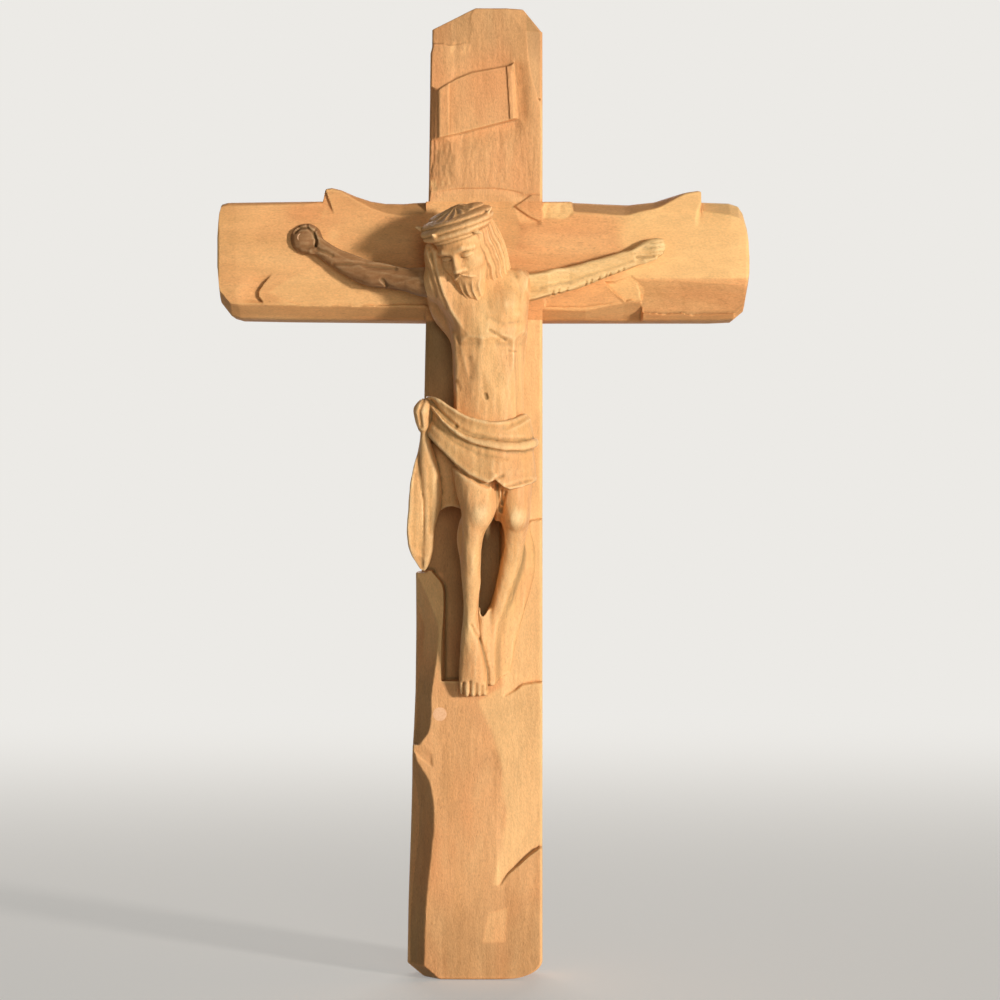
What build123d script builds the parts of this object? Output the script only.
from build123d import *
import math
import os

# A wall crucifix carved in pale hardwood. Two rustic beams cross in a half lap, with the
# crossbeam in front. The carved figure stands on their faces: its body is one carving, and each
# arm is a carving of its own. Dowels, pins and two screws from behind hold it, and a ring in a
# screw eye, let into the back of the upright, hangs it on a nail.
# X runs to the viewer's right, Y into the wall and Z up. The origin is the middle of the
# crossing, on the back face. All sizes are millimetres.

# Beams
BEAM_THICKNESS = 22.0
UPRIGHT_ABOVE_CROSSING = 78.0
UPRIGHT_BELOW_CROSSING = 222.0
UPRIGHT_RIGHT_EDGE = 17.75
UPRIGHT_LEFT_EDGE_TOP = 17.1
UPRIGHT_LEFT_EDGE_FOOT = 24.3
CROSSBEAM_LEFT_REACH = 82.9
CROSSBEAM_RIGHT_REACH = 81.6
CROSSBEAM_HEIGHT = 36.6
LAP_DEPTH = 11.0
BACK_EDGE_CHAMFER = 1.2

# Knife-cut ends and edges of the beams
TOP_CORNER_LEFT = (13.9, 6.0)
TOP_CORNER_RIGHT = (5.5, 7.0)
FOOT_CORNER_LEFT = (5.2, 4.4)
FOOT_CORNER_RIGHT = (11.5, 5.4)
CROSSBEAM_END_BOW = 1.2
CROSSBEAM_TOP_CORNER = 2.6
CROSSBEAM_LOWER_CORNER = 4.4
UNDER_BEVEL = (4.0, 5.6)
UPPER_BEVEL = (3.4, 5.0)
LOW_CHIP = (13.0, 3.2)
LOW_CHIP_START = 48.6
FOOT_BEVEL = 4.4
SPUR_RISE = 3.8
LEFT_SPUR_TIP = 49.2
LEFT_SPUR_RUN = 19.0
RIGHT_SPUR_FROM_END = 14.7
RIGHT_SPUR_RUN = 20.0
SPUR_NOTCH = 1.6

# Gouge cuts along the upright's front edges, as (height above the foot, length, depth), and the
# lips of bark on its right side, as (inner end, height at the edge, run, drop)
LEFT_GOUGES = [(0.0, 80.0, 3.4), (41.0, 62.0, 4.4), (99.0, 52.0, 5.2), (290.0, 34.0, 2.0)]
RIGHT_GOUGES = [(290.0, 56.0, 3.2)]
BARK_LIPS = [
    ((4.6, -193.0), -182.0, 26.0, 2.4),
    ((6.0, -134.0), -130.6, 16.0, 1.8),
    ((13.2, -80.6), -79.0, 8.0, 1.2),
]
CROSSBEAM_LEFT_GOUGE = (-70.6, -9.4, 15.0, 1.4)
CROSSBEAM_RIGHT_GOUGE = (42.0, 34.0, 4.6)
UPPER_BEVEL_START = 3.0

# Carved ground round the legs, the scoop over the head and the bare title tablet
LEG_GROUND_DEPTH = 5.0
LEG_GROUND_TOP = -60.0
LEG_GROUND_FOOT = -129.8
STUB_TOP = -96.2
STUB_TOP_WIDTH = 5.2
STUB_BELLY_WIDTH = 9.0
STUB_FOOT_WIDTH = 8.2
STUB_BELLY_HEIGHT = -107.0
SCOOP_DEPTH = 2.4
SCOOP_HEIGHT = 19.0
SCOOP_MIDDLE = 13.5
TABLET_WIDTH = 23.7
TABLET_HEIGHT = 16.8
TABLET_LEAN = 14.0
TABLET_RISE = 1.0
TABLET_CENTRE = (-2.1, 49.3)

# Fixings, all with the same easy clearance in their holes
HOLE_CLEARANCE = 0.05
SHOULDER_DOWEL_DIAMETER = 4.0
SHOULDER_DOWEL_LENGTH = 11.0
HAND_PIN_DIAMETER = 2.5
HAND_PIN_LENGTH = 8.0
HAND_PIN_IN_HAND = 3.2
FOOT_PIN_DIAMETER = 3.0
FOOT_PIN_LENGTH = 9.0
FOOT_PIN_IN_FOOT = 3.4
FOOT_PIN_BELOW_GROUND = 2.1
LAP_PEG_DIAMETER = 5.0
LAP_PEG_IN_CROSSBEAM = 7.0
LAP_PEG_OFFSET = (10.0, 9.5)
SCREW_SHANK_DIAMETER = 3.5
SCREW_HEAD_DIAMETER = 7.0
SCREW_HEAD_HEIGHT = 2.2
SCREW_IN_BODY = 8.0
SCREW_SLOT = (0.8, 0.9)
CHEST_SCREW_PLACE = (1.0, -13.0)
HIP_SCREW_PLACE = (0.0, -56.0)
KNOT_PLUG_DIAMETER = 4.2
KNOT_PLUG_LENGTH = 8.0
KNOT_PLUG_PLACE = (-14.1, -140.0)

# Hanging ring and its screw eye, in a pocket of two overlapping borings
RING_RADIUS = 6.0
RING_WIRE = 1.6
EYE_HOLE_RADIUS = 1.2
EYE_WIRE = 1.5
EYE_SHANK_DIAMETER = 2.0
EYE_SHANK_LENGTH = 9.0
POCKET_DEPTH = 7.0
POCKET_MARGIN = 1.6
HANGER_HEIGHT = 50.0

# The figure. Stations of a standing form are (Z, X, proud, half width, half depth), and those
# of an arm are (X, Z, proud, half height, half depth). Proud is how far the station's middle
# stands in front of the beams.
TORSO = [
    (2.0, -3.0, 9.5, 5.6, 5.4),
    (-5.0, -2.6, 8.8, 11.4, 8.4),
    (-10.5, -1.6, 8.8, 14.6, 9.9),
    (-18.0, 0.4, 9.0, 13.0, 11.0),
    (-27.0, 1.3, 9.1, 12.0, 10.8),
    (-36.0, 1.1, 8.6, 10.8, 9.9),
    (-46.0, 1.0, 8.5, 10.3, 9.4),
    (-56.0, 0.0, 9.8, 12.6, 10.6),
    (-69.0, 0.0, 11.0, 12.0, 9.5),
]
RAISED_SHOULDER = [
    (4.0, -16.2, 12.0, 1.6, 3.6),
    (1.0, -15.2, 12.2, 3.4, 5.8),
    (-5.0, -12.4, 11.8, 5.2, 6.8),
    (-11.0, -9.8, 11.4, 5.8, 7.4),
    (-17.0, -6.8, 10.8, 5.8, 7.8),
]
RIGHT_LEG = [
    (-56.0, -5.0, 11.8, 7.4, 7.4),
    (-67.0, -3.7, 15.0, 6.6, 6.8),
    (-76.5, -2.5, 17.3, 5.5, 5.8),
    (-83.0, -3.2, 16.8, 4.2, 5.1),
    (-92.0, -4.1, 14.2, 3.3, 4.6),
    (-102.0, -4.3, 11.4, 2.8, 3.6),
    (-110.0, -4.2, 9.0, 2.7, 3.2),
    (-117.0, -3.7, 7.0, 3.5, 3.4),
    (-125.0, -3.2, 4.6, 4.5, 3.8),
    (-131.0, -3.0, 3.0, 4.9, 3.7),
    (-134.2, -2.9, 2.2, 4.3, 2.8),
]
LEFT_LEG = [
    (-56.0, 7.0, 10.6, 7.0, 7.4),
    (-67.0, 8.5, 11.2, 6.0, 6.6),
    (-78.0, 8.9, 11.2, 4.9, 5.8),
    (-86.0, 8.5, 7.2, 4.4, 5.2),
    (-97.0, 6.6, 3.8, 4.2, 4.4),
    (-108.0, 3.6, 2.2, 3.8, 3.8),
    (-118.0, 2.3, 2.4, 3.4, 3.5),
    (-126.0, 2.3, 2.0, 2.8, 3.3),
    (-131.5, 2.5, 1.4, 2.0, 2.4),
]
CLOTH_UPPER = [
    (-40.0, -2.4, 10.0, 16.4, 11.2),
    (-50.0, -2.6, 10.4, 17.2, 12.2),
    (-62.0, -1.2, 11.0, 17.0, 13.0),
    (-76.0, 0.4, 11.6, 16.6, 13.4),
]
CLOTH_LAYER = 1.1
CLOTH_RIM = (-47.6, 20.0, 3.0)
CLOTH_FOLD = (-56.4, 12.0, -9.0)
CLOTH_HEM = (-64.4, 16.0, -24.0)
CLOTH_KNOT = [
    (-42.6, -18.4, 11.6, 1.4, 1.6),
    (-45.4, -18.9, 12.0, 2.8, 3.2),
    (-49.6, -18.6, 12.0, 2.9, 3.4),
    (-53.4, -18.4, 11.4, 1.8, 2.4),
]
CLOTH_TAIL = [
    (-51.0, -18.4, 11.2, 1.6, 2.2),
    (-57.0, -18.2, 11.2, 2.4, 2.9),
    (-64.0, -17.9, 10.6, 3.6, 3.4),
    (-73.0, -18.4, 9.2, 4.7, 3.5),
    (-82.5, -19.4, 7.2, 4.1, 3.3),
    (-90.0, -19.3, 5.4, 3.3, 2.9),
    (-96.0, -18.9, 4.2, 0.8, 1.0),
]
TAIL_WEB = [
    (-55.0, -11.5, 7.0, 6.4, 4.2),
    (-66.0, -11.0, 6.8, 6.0, 3.4),
    (-75.4, -10.4, 6.6, 5.0, 2.4),
]
LEFT_ARM = [
    (13.3, -9.4, 8.6, 4.9, 5.0),
    (19.5, -8.2, 6.4, 4.2, 4.4),
    (25.4, -6.1, 4.6, 4.0, 3.9),
    (35.2, -2.7, 3.1, 3.5, 3.4),
    (42.6, -0.1, 2.5, 3.1, 3.2),
    (47.6, 2.1, 2.2, 4.0, 2.9),
    (52.6, 3.6, 1.8, 3.4, 2.4),
    (55.0, 4.2, 1.3, 1.5, 1.5),
]
RIGHT_ARM = [
    (-16.4, -8.8, 9.2, 5.0, 5.0),
    (-22.0, -8.6, 7.8, 4.5, 4.6),
    (-30.0, -6.6, 5.7, 4.0, 4.1),
    (-41.8, -2.0, 3.6, 3.6, 3.5),
    (-48.0, 1.5, 2.9, 3.3, 3.1),
    (-52.4, 4.6, 2.6, 3.8, 2.9),
    (-56.6, 6.9, 2.2, 4.6, 2.8),
    (-60.4, 7.4, 1.5, 2.2, 1.7),
]
SHOULDER_STUB = 8.0
SHOULDER_STUB_TAPER = 0.3
SHOULDER_STUB_DROP = 1.0
SEAM_TRIM = 2.0

# The head is built upright about its own middle, then leaned, bowed and turned into place.
# Its stations are (height, aside, forward, half width, half depth). The hair hangs on one side.
HEAD_PLACE = (-6.0, 16.4, 2.4)
HEAD_LEAN = -15.0
HEAD_BOW = 22.0
HEAD_TURN = -30.0
SKULL = [
    (-15.4, 0.0, 7.6, 1.4, 1.4),
    (-12.0, 0.0, 6.6, 3.6, 3.6),
    (-7.6, 0.0, 4.0, 5.6, 6.4),
    (-2.0, 0.0, 1.4, 7.4, 9.0),
    (4.0, 0.0, 0.0, 8.3, 10.2),
    (9.0, 0.0, -0.6, 7.6, 9.2),
    (12.6, 0.0, -1.0, 4.6, 5.6),
    (14.0, 0.0, -1.2, 1.4, 1.8),
]
HAIR = [
    (11.4, 0.0, -2.4, 4.6, 5.4),
    (8.0, 0.0, -2.4, 8.6, 9.0),
    (2.0, 0.4, -2.8, 9.6, 9.2),
    (-5.0, 2.0, -3.4, 8.8, 8.0),
    (-12.0, 3.6, -4.4, 7.0, 6.2),
    (-16.0, 4.2, -5.0, 5.4, 4.6),
]
NOSE = [
    (1.2, 0.0, 9.2, 0.9, 1.0),
    (-1.6, 0.0, 10.0, 1.2, 1.7),
    (-4.0, 0.0, 10.2, 1.6, 2.2),
    (-5.0, 0.0, 9.4, 1.0, 1.3),
]
CROWN_HEIGHT = 6.4
CROWN_RADIUS = 9.3
CROWN_ROLL = 1.9

FACE = -BEAM_THICKNESS
LAP_PLANE = FACE + LAP_DEPTH
HALF_CROSSBEAM = CROSSBEAM_HEIGHT / 2
RIGHT_SPUR_TIP = CROSSBEAM_RIGHT_REACH - RIGHT_SPUR_FROM_END
FAR = 4 * UPRIGHT_BELOW_CROSSING
ROUND_POINTS = 8
OVERCUT = 1.0


def front_plate(outline, from_y, to_y):
    """A plate with an outline drawn in X and Z, between two depths."""
    drawing = Plane(origin=(0, to_y, 0), x_dir=(1, 0, 0), z_dir=(0, -1, 0))
    return extrude(drawing * make_face(outline), amount=to_y - from_y)


def half_space(point, normal):
    """The block of space that lies on the normal's side of a plane."""
    return Plane(origin=point, z_dir=normal) * Box(
        FAR, FAR, FAR, align=(Align.CENTER, Align.CENTER, Align.MIN)
    )


def along_y(x, z, from_y, to_y, diameter):
    """A round bar along Y between two depths."""
    bar = Cylinder(diameter / 2, to_y - from_y, align=(Align.CENTER, Align.CENTER, Align.MIN))
    return Plane(origin=(x, from_y, z), z_dir=(0, 1, 0)) * bar


def along_x(from_x, to_x, z, proud, diameter):
    """A round bar along X, standing in front of the beams' faces."""
    bar = Cylinder(diameter / 2, to_x - from_x, align=(Align.CENTER, Align.CENTER, Align.MIN))
    return Plane(origin=(from_x, FACE - proud, z), z_dir=(1, 0, 0)) * bar


def oval(plane, half_width, half_depth):
    """A smooth closed oval on a plane."""
    angles = [2 * math.pi * step / ROUND_POINTS for step in range(ROUND_POINTS)]
    points = [
        plane.from_local_coords((half_width * math.cos(a), half_depth * math.sin(a), 0))
        for a in angles
    ]
    return make_face(Spline(points, periodic=True))


def standing_form(stations, grow=0.0):
    """A form lofted through level ovals, set in front of the beams."""
    return loft(
        [
            oval(Plane((x, FACE - proud, z)), half_width + grow, half_depth + grow)
            for z, x, proud, half_width, half_depth in stations
        ]
    )


def arm_form(stations):
    """A form lofted through upright ovals that face along X."""
    return loft(
        [
            oval(
                Plane(origin=(x, FACE - proud, z), x_dir=(0, 0, 1), z_dir=(1, 0, 0)),
                half_height,
                half_depth,
            )
            for x, z, proud, half_height, half_depth in stations
        ]
    )


def gouge(middle, outward, run, length, depth):
    """A round-bottomed gouge cut across an edge, as a bar whose side just enters the wood.
    The edge runs along run, the cut faces outward, and length and depth are the cut's own."""
    radius = (length**2 / 4 + depth**2) / (2 * depth)
    out = Vector(*outward).normalized()
    centre = Vector(*middle) + out * (radius - depth)
    bar = Cylinder(radius, FAR)
    return Plane(origin=centre, z_dir=Vector(*run).cross(out)) * bar


def left_edge(z):
    """X of the upright's left edge, which spreads towards the foot."""
    share = (UPRIGHT_ABOVE_CROSSING - z) / (UPRIGHT_ABOVE_CROSSING + UPRIGHT_BELOW_CROSSING)
    return -(UPRIGHT_LEFT_EDGE_TOP + share * (UPRIGHT_LEFT_EDGE_FOOT - UPRIGHT_LEFT_EDGE_TOP))


def upright_outline(grow=0.0):
    """The upright's outline with its four cut corners."""
    top, foot, right = UPRIGHT_ABOVE_CROSSING, -UPRIGHT_BELOW_CROSSING, UPRIGHT_RIGHT_EDGE + grow
    return Polyline(
        (left_edge(top - TOP_CORNER_LEFT[1]) - grow, top - TOP_CORNER_LEFT[1]),
        (left_edge(top) + TOP_CORNER_LEFT[0], top),
        (right - TOP_CORNER_RIGHT[0], top),
        (right, top - TOP_CORNER_RIGHT[1]),
        (right, foot + FOOT_CORNER_RIGHT[1]),
        (right - FOOT_CORNER_RIGHT[0], foot),
        (left_edge(foot) + FOOT_CORNER_LEFT[0], foot),
        (left_edge(foot + FOOT_CORNER_LEFT[1]) - grow, foot + FOOT_CORNER_LEFT[1]),
        close=True,
    )


def crossbeam_outline():
    """The crossbeam's outline, with bowed ends and a spur of bark standing up on each side."""
    top, under = HALF_CROSSBEAM, -HALF_CROSSBEAM
    left, right = -CROSSBEAM_LEFT_REACH, CROSSBEAM_RIGHT_REACH
    left_tip, right_tip = -LEFT_SPUR_TIP, RIGHT_SPUR_TIP
    ends_in = CROSSBEAM_END_BOW
    right_end_top = (right - ends_in, top - CROSSBEAM_TOP_CORNER)
    right_end_foot = (right - ends_in, under + CROSSBEAM_LOWER_CORNER)
    left_end_foot = (left + ends_in, under + CROSSBEAM_LOWER_CORNER)
    left_end_top = (left + ends_in, top - CROSSBEAM_TOP_CORNER)
    return Curve() + [
        Polyline(
            left_end_top,
            (left + ends_in + CROSSBEAM_TOP_CORNER, top),
            (left_tip + SPUR_NOTCH, top - SPUR_NOTCH),
            (left_tip, top + SPUR_RISE),
            (left_tip + SPUR_NOTCH, top + SPUR_RISE),
        ),
        Spline(
            (left_tip + SPUR_NOTCH, top + SPUR_RISE),
            (left_tip + LEFT_SPUR_RUN, top),
            tangents=[(1, -0.3), (1, 0)],
        ),
        Line((left_tip + LEFT_SPUR_RUN, top), (right_tip - RIGHT_SPUR_RUN, top)),
        Spline(
            (right_tip - RIGHT_SPUR_RUN, top),
            (right_tip - SPUR_NOTCH / 2, top + SPUR_RISE),
            tangents=[(1, 0), (1, 0.35)],
        ),
        Polyline(
            (right_tip - SPUR_NOTCH / 2, top + SPUR_RISE),
            (right_tip, top + SPUR_RISE - SPUR_NOTCH / 2),
            (right_tip - SPUR_NOTCH, top - SPUR_NOTCH),
            (right_tip + SPUR_NOTCH, top),
            (right - ends_in - CROSSBEAM_TOP_CORNER, top),
            right_end_top,
        ),
        ThreePointArc(right_end_top, (right, 0), right_end_foot),
        Polyline(
            right_end_foot,
            (right - ends_in - CROSSBEAM_LOWER_CORNER, under),
            (left + ends_in + CROSSBEAM_LOWER_CORNER, under),
            left_end_foot,
        ),
        ThreePointArc(left_end_foot, (left, 0), left_end_top),
    ]


def edge_bevel(from_x, to_x, z, up, size):
    """The wood that comes off a front edge of the crossbeam to bevel it, by its height and depth."""
    height, depth = size
    corner = [(0, 0), (depth, 0), (0, -up * height)]
    drawing = Plane(origin=(from_x, FACE, z), x_dir=(0, 1, 0), z_dir=(1, 0, 0))
    return extrude(drawing * make_face(Polyline(*corner, close=True)), amount=to_x - from_x)


def bark_step(from_point, to_point, run, drop):
    """The wood that comes off above a lip of bark, sloping back out to the face over a run. It goes
    on past the edge by the run, which clears the edge above a slanted lip."""
    (x0, z0), (x1, z1) = from_point, to_point
    across = Vector(x1 - x0, 0, z1 - z0)
    section = [(0, 0), (drop, 0), (0, run)]
    drawing = Plane(origin=(x0, FACE, z0), x_dir=(0, 1, 0), z_dir=across)
    flipped = 1 if drawing.y_dir.Z > 0 else -1
    face = make_face(Polyline(*[(x, flipped * y) for x, y in section], close=True))
    return extrude(drawing * face, amount=across.length + run)


def screw_points():
    """Where the two screws enter the body: under the crossing and at the hips."""
    return [("chest", CHEST_SCREW_PLACE), ("hip", HIP_SCREW_PLACE)]


def lap_peg_points():
    """Two pegs on a diagonal of the half lap."""
    across, up = LAP_PEG_OFFSET
    return [("upper", (-across, up)), ("lower", (across, -up))]


def hand_points():
    """The middle of each palm."""
    return [("left", (LEFT_ARM[5][0], LEFT_ARM[5][1])), ("right", (RIGHT_ARM[6][0], RIGHT_ARM[6][1]))]


def foot_point():
    """Where the pin enters the foot, just under the carved ground's lower edge."""
    return (RIGHT_LEG[9][1], LEG_GROUND_FOOT - FOOT_PIN_BELOW_GROUND)


def shoulder_points():
    """The middle of each shoulder seam: side, X, Z, proud and the way the arm leaves."""
    left, right = LEFT_ARM[0], RIGHT_ARM[0]
    return [("left", left[0], left[1], left[2], 1), ("right", right[0], right[1], right[2], -1)]


def shoulder_dowel(side, grow=0.0):
    """A dowel through a shoulder seam, half in the body and half in the arm."""
    x, z, proud = next(p[1:4] for p in shoulder_points() if p[0] == side)
    half = SHOULDER_DOWEL_LENGTH / 2 + grow
    return along_x(x - half, x + half, z, proud, SHOULDER_DOWEL_DIAMETER + 2 * grow)


def hand_pin(side, grow=0.0):
    """A pin from the crossbeam into a palm."""
    x, z = dict(hand_points())[side]
    tip = FACE - HAND_PIN_IN_HAND
    return along_y(x, z, tip - grow, tip + HAND_PIN_LENGTH + grow, HAND_PIN_DIAMETER + 2 * grow)


def foot_pin(grow=0.0):
    """A pin from the upright into the upper foot."""
    x, z = foot_point()
    tip = FACE - FOOT_PIN_IN_FOOT
    return along_y(x, z, tip - grow, tip + FOOT_PIN_LENGTH + grow, FOOT_PIN_DIAMETER + 2 * grow)


def lap_peg(name, grow=0.0):
    """A peg from the back through the upright's half of the lap into the crossbeam's."""
    x, z = dict(lap_peg_points())[name]
    tip = LAP_PLANE - LAP_PEG_IN_CROSSBEAM
    return along_y(x, z, tip - grow, 0, LAP_PEG_DIAMETER + 2 * grow)


def screw_blank(name, grow=0.0):
    """A countersunk wood screw from the back into the body, without its slot."""
    x, z = dict(screw_points())[name]
    tip = FACE - SCREW_IN_BODY
    shank, head = SCREW_SHANK_DIAMETER / 2 + grow, SCREW_HEAD_DIAMETER / 2 + grow
    half = make_face(
        Polyline(
            (0, 0),
            (head, 0),
            (shank, -SCREW_HEAD_HEIGHT),
            (shank, tip + shank - grow),
            (shank / 3, tip - grow),
            (0, tip - grow),
            close=True,
        )
    )
    return Pos(x, 0, z) * revolve(half, Axis.Y)


def screw(name):
    """A countersunk wood screw with its driving slot."""
    x, z = dict(screw_points())[name]
    width, depth = SCREW_SLOT
    return screw_blank(name) - Pos(x, 0, z) * Box(2 * SCREW_HEAD_DIAMETER, 2 * depth, width)


def knot_plug(grow=0.0):
    """A turned plug glued into the upright's face where a knot was bored out."""
    x, z = KNOT_PLUG_PLACE
    return along_y(x, z, FACE, FACE + KNOT_PLUG_LENGTH + grow, KNOT_PLUG_DIAMETER + 2 * grow)


def eye_middle():
    """The middle of the screw eye's loop, just inside the back face."""
    loop = EYE_HOLE_RADIUS + EYE_WIRE
    return Vector(0, -(POCKET_DEPTH - loop) / 4 - loop, HANGER_HEIGHT)


def screw_eye(grow=0.0):
    """A wire eye whose loop stands upright in the pocket, on a shank driven into its floor."""
    middle = eye_middle()
    centre_radius = EYE_HOLE_RADIUS + EYE_WIRE / 2
    loop = Plane(origin=middle, z_dir=(1, 0, 0)) * Torus(centre_radius, EYE_WIRE / 2 + grow)
    root = middle.Y - centre_radius
    shank_end = root - EYE_SHANK_LENGTH - grow
    return loop + along_y(middle.X, middle.Z, shank_end, root, EYE_SHANK_DIAMETER + 2 * grow)


def hanging_ring():
    """A closed wire ring that hangs through the eye and swings about its wire there."""
    middle = eye_middle() - Vector(0, 0, RING_RADIUS)
    return Plane(origin=middle, z_dir=(0, 1, 0)) * Torus(RING_RADIUS, RING_WIRE / 2)


def hanger_pocket():
    """Two overlapping borings in the back, so that the ring lies flush hanging or raised."""
    swing = RING_RADIUS + RING_WIRE / 2 + POCKET_MARGIN
    outline = SlotCenterToCenter(2 * RING_RADIUS, 2 * swing, rotation=90)
    drawing = Plane(origin=(0, 0, HANGER_HEIGHT), x_dir=(1, 0, 0), z_dir=(0, -1, 0))
    return extrude(drawing * outline, amount=POCKET_DEPTH)


def head_scoop():
    """The hollow that is gouged out behind and above the head."""
    return gouge(
        (HEAD_PLACE[0] / 2, FACE, SCOOP_MIDDLE), (0, -1, 0), (0, 0, 1), SCOOP_HEIGHT, SCOOP_DEPTH
    ) & Box(UPRIGHT_RIGHT_EDGE + UPRIGHT_LEFT_EDGE_TOP, 4 * BEAM_THICKNESS, FAR)


def title_tablet():
    """The bare tablet that leans across the head of the upright, raised from the same wood."""
    x, z = TABLET_CENTRE
    half_width, half_height = TABLET_WIDTH / 2, TABLET_HEIGHT / 2
    lift = half_width * math.tan(math.radians(TABLET_LEAN))
    outline = Polyline(
        (x - half_width, z - half_height - lift),
        (x + half_width, z - half_height + lift),
        (x + half_width, z + half_height + lift),
        (x - half_width, z + half_height - lift),
        close=True,
    )
    return front_plate(outline, FACE - TABLET_RISE, FACE + TABLET_RISE)


def leg_ground():
    """The ground cut back round the legs, left open behind the hanging cloth."""
    edge, beyond = left_edge(STUB_TOP), left_edge(-UPRIGHT_BELOW_CROSSING) - OVERCUT
    inner_right = LEFT_LEG[5][1]
    stub_foot = (edge + STUB_FOOT_WIDTH, LEG_GROUND_FOOT)
    stub_top = (edge + STUB_TOP_WIDTH, STUB_TOP)
    outline = Curve() + [
        Polyline(
            stub_top,
            (beyond, STUB_TOP),
            (beyond, LEG_GROUND_TOP),
            (inner_right, LEG_GROUND_TOP),
            (inner_right, LEG_GROUND_FOOT),
            stub_foot,
        ),
        ThreePointArc(stub_foot, (edge + STUB_BELLY_WIDTH, STUB_BELLY_HEIGHT), stub_top),
    ]
    return front_plate(outline, FACE - OVERCUT, FACE + LEG_GROUND_DEPTH)


def make_upright():
    """The upright, its knife-cut edges, the lap housing and every hole in it."""
    beam = front_plate(upright_outline(), FACE, 0)
    back_edges = beam.faces().sort_by(Axis.Y)[-1].edges()
    beam = chamfer(back_edges, BACK_EDGE_CHAMFER)
    beam += title_tablet()
    cuts = [
        front_plate(
            Polyline(
                (-FAR / 4, HALF_CROSSBEAM),
                (FAR / 4, HALF_CROSSBEAM),
                (FAR / 4, -HALF_CROSSBEAM),
                (-FAR / 4, -HALF_CROSSBEAM),
                close=True,
            ),
            FACE - 2 * TABLET_RISE,
            LAP_PLANE,
        ),
        head_scoop(),
        leg_ground(),
        hanger_pocket(),
        screw_eye(HOLE_CLEARANCE),
        foot_pin(HOLE_CLEARANCE),
        knot_plug(HOLE_CLEARANCE),
    ]
    for above_foot, length, depth in LEFT_GOUGES:
        z = above_foot - UPRIGHT_BELOW_CROSSING
        cuts.append(gouge((left_edge(z), FACE, z), (-1, -1, 0), (0, 0, 1), length, depth))
    for above_foot, length, depth in RIGHT_GOUGES:
        z = above_foot - UPRIGHT_BELOW_CROSSING
        cuts.append(gouge((UPRIGHT_RIGHT_EDGE, FACE, z), (1, -1, 0), (0, 0, 1), length, depth))
    for inner_end, edge_height, run, drop in BARK_LIPS:
        cuts.append(bark_step(inner_end, (UPRIGHT_RIGHT_EDGE, edge_height), run, drop))
    cuts += [screw_blank(name, HOLE_CLEARANCE) for name, _ in screw_points()]
    cuts += [lap_peg(name, HOLE_CLEARANCE) for name, _ in lap_peg_points()]
    for cut in cuts:
        beam -= cut
    return beam


def make_crossbeam():
    """The crossbeam, bevelled and spurred, housed over the upright."""
    beam = front_plate(crossbeam_outline(), FACE, 0)
    upright_left, upright_right = left_edge(0), UPRIGHT_RIGHT_EDGE
    left, right = -CROSSBEAM_LEFT_REACH - OVERCUT, CROSSBEAM_RIGHT_REACH + OVERCUT
    top, under = HALF_CROSSBEAM, -HALF_CROSSBEAM
    left_x, left_z, left_length, left_depth = CROSSBEAM_LEFT_GOUGE
    right_x, right_length, right_depth = CROSSBEAM_RIGHT_GOUGE
    bevel_start, spur_start = upright_right + UPPER_BEVEL_START, RIGHT_SPUR_TIP - RIGHT_SPUR_RUN
    cuts = [
        front_plate(upright_outline(HOLE_CLEARANCE), LAP_PLANE, FAR),
        edge_bevel(left, upright_left, under, -1, UNDER_BEVEL),
        edge_bevel(upright_right, right, under, -1, UNDER_BEVEL),
        edge_bevel(LOW_CHIP_START, right, under, -1, LOW_CHIP),
        edge_bevel(bevel_start, spur_start, top, 1, UPPER_BEVEL),
        edge_bevel(RIGHT_SPUR_TIP + SPUR_NOTCH, right, top, 1, UPPER_BEVEL),
        head_scoop(),
        gouge((left_x, FACE, left_z), (-0.5, -1, -0.6), (1, 0, 0.5), left_length, left_depth),
        gouge((right_x, FACE, under), (0, -1, -1), (1, 0, 0), right_length, right_depth),
    ]
    cuts += [screw_blank("chest", HOLE_CLEARANCE)]
    cuts += [lap_peg(name, HOLE_CLEARANCE) for name, _ in lap_peg_points()]
    cuts += [hand_pin(side, HOLE_CLEARANCE) for side, _ in hand_points()]
    for cut in cuts:
        beam -= cut
    return beam


def placed_head(form):
    """Moves a form of the head from its own upright frame into place on the neck."""
    x, proud, z = HEAD_PLACE
    turned = Rotation(0, 0, HEAD_TURN) * form
    bowed = Rotation(HEAD_BOW, 0, 0) * turned
    return Pos(x, FACE - proud, z) * (Rotation(0, HEAD_LEAN, 0) * bowed)


def head_form(stations):
    """A form of the head lofted through level ovals in the head's own frame."""
    return loft(
        [
            oval(Plane((aside, -forward, height)), half_width, half_depth)
            for height, aside, forward, half_width, half_depth in stations
        ]
    )


def make_head():
    """Skull and beard, nose, long hair and the twisted crown, in one carving."""
    crown = Pos(0, 0, CROWN_HEIGHT) * Torus(CROWN_RADIUS, CROWN_ROLL)
    forms = [head_form(SKULL), head_form(HAIR), head_form(NOSE), crown]
    return [placed_head(form) for form in forms]


def tilted_plane(height, bow, roll):
    """A plane across the hips at a height, dipping to the front and rolling to one side."""
    turned = Rotation(0, roll, 0) * Rotation(-bow, 0, 0)
    place = Pos(CLOTH_UPPER[1][1], FACE - CLOTH_UPPER[1][2], height) * turned
    return Plane(place)


def make_loincloth():
    """The loincloth: an inner fold above and an outer layer below, cut by leaning planes."""
    rim, fold, hem = (tilted_plane(*cut) for cut in (CLOTH_RIM, CLOTH_FOLD, CLOTH_HEM))
    inner = standing_form(CLOTH_UPPER)
    outer = standing_form(CLOTH_UPPER, CLOTH_LAYER)
    inner = inner - half_space(rim.origin, rim.z_dir) - half_space(hem.origin, -hem.z_dir)
    outer = outer - half_space(fold.origin, fold.z_dir) - half_space(hem.origin, -hem.z_dir)
    return [inner, outer]


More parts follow.
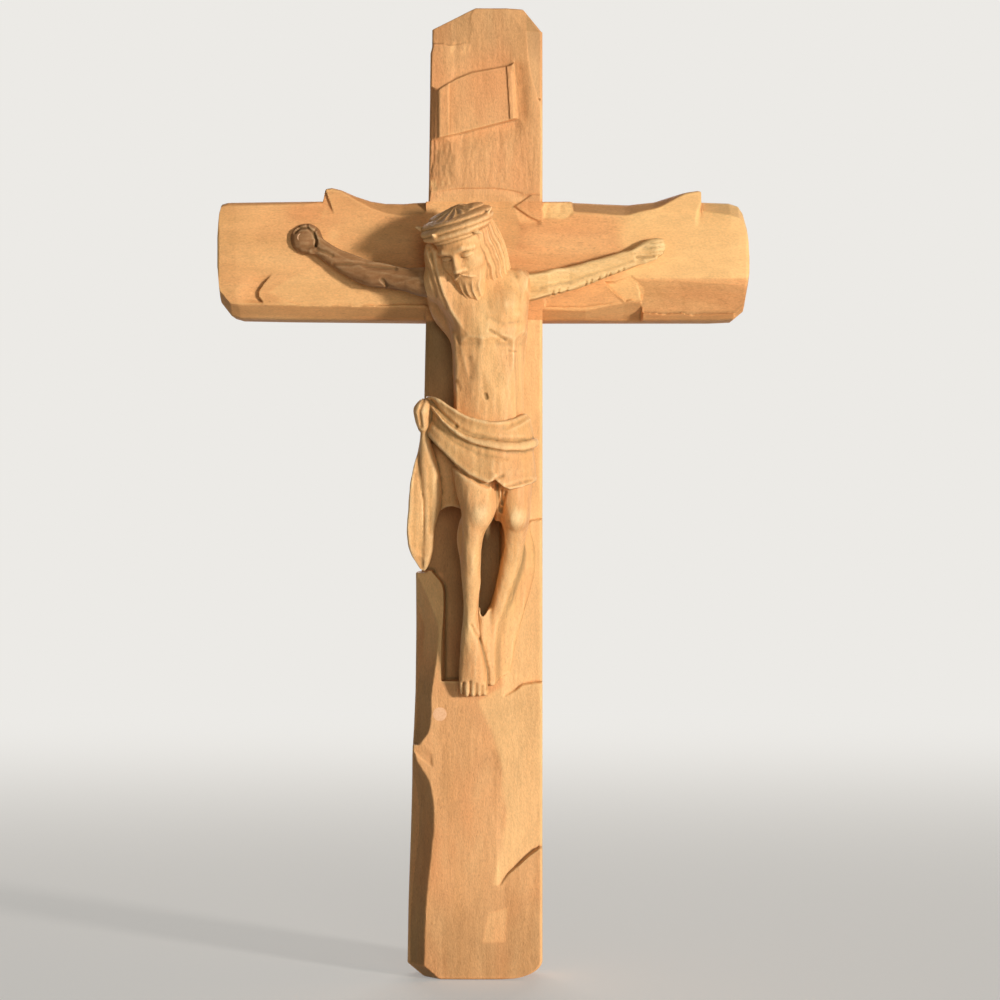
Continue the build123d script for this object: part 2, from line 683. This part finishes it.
def make_shoulder_stub(arm):
    """The body's side of a shoulder seam: a short stub with the arm's own section."""
    x, z, proud, half_height, half_depth = arm[0]
    inward = -1 if x > 0 else 1
    root = (
        x + inward * SHOULDER_STUB,
        z - SHOULDER_STUB_DROP,
        proud - SHOULDER_STUB_DROP,
        half_height - SHOULDER_STUB_TAPER,
        half_depth - SHOULDER_STUB_TAPER,
    )
    return arm_form([root, arm[0]])


def make_body():
    """Head, trunk, loincloth and legs, carved from one block with a flat back."""
    forms = [
        standing_form(TORSO),
        standing_form(RAISED_SHOULDER),
        make_shoulder_stub(LEFT_ARM),
        make_shoulder_stub(RIGHT_ARM),
        *make_head(),
        standing_form(RIGHT_LEG),
        standing_form(LEFT_LEG),
        *make_loincloth(),
        standing_form(CLOTH_KNOT),
        standing_form(CLOTH_TAIL),
        standing_form(TAIL_WEB),
    ]
    body = forms[0]
    for form in forms[1:]:
        body += form
    cuts = [half_space((0, FACE, 0), (0, 1, 0)), foot_pin(HOLE_CLEARANCE)]
    for _, x, z, _, way in shoulder_points():
        height = 2 * (LEFT_ARM[0][3] + SEAM_TRIM)
        side = Align.MIN if way > 0 else Align.MAX
        block = Box(BEAM_THICKNESS, FAR, height, align=(side, Align.CENTER, Align.CENTER))
        cuts.append(Pos(x, 0, z) * block)
    cuts += [screw_blank(name, HOLE_CLEARANCE) for name, _ in screw_points()]
    cuts += [shoulder_dowel(side, HOLE_CLEARANCE) for side in ("left", "right")]
    for cut in cuts:
        body -= cut
    return body


def make_arm(side, stations):
    """An arm with its hand, flat where it lies on the crossbeam, bored for dowel and pin."""
    arm = arm_form(stations)
    for cut in (
        half_space((0, FACE, 0), (0, 1, 0)),
        shoulder_dowel(side, HOLE_CLEARANCE),
        hand_pin(side, HOLE_CLEARANCE),
    ):
        arm -= cut
    return arm


def make_pieces():
    """Every separate piece, by the name of its node."""
    pieces = {
        "upright": make_upright(),
        "crossbeam": make_crossbeam(),
        "figure_body": make_body(),
        "figure_left_arm": make_arm("left", LEFT_ARM),
        "figure_right_arm": make_arm("right", RIGHT_ARM),
        "foot_pin": foot_pin(),
        "knot_plug": knot_plug(),
        "screw_eye": screw_eye(),
        "hanging_ring": hanging_ring(),
    }
    for side in ("left", "right"):
        pieces[f"{side}_shoulder_dowel"] = shoulder_dowel(side)
        pieces[f"{side}_hand_pin"] = hand_pin(side)
    for name, _ in lap_peg_points():
        pieces[f"{name}_lap_peg"] = lap_peg(name)
    for name, _ in screw_points():
        pieces[f"{name}_screw"] = screw(name)
    return pieces


os.makedirs("parts", exist_ok=True)
for node, shape in make_pieces().items():
    export_step(shape, f"parts/{node}.step")
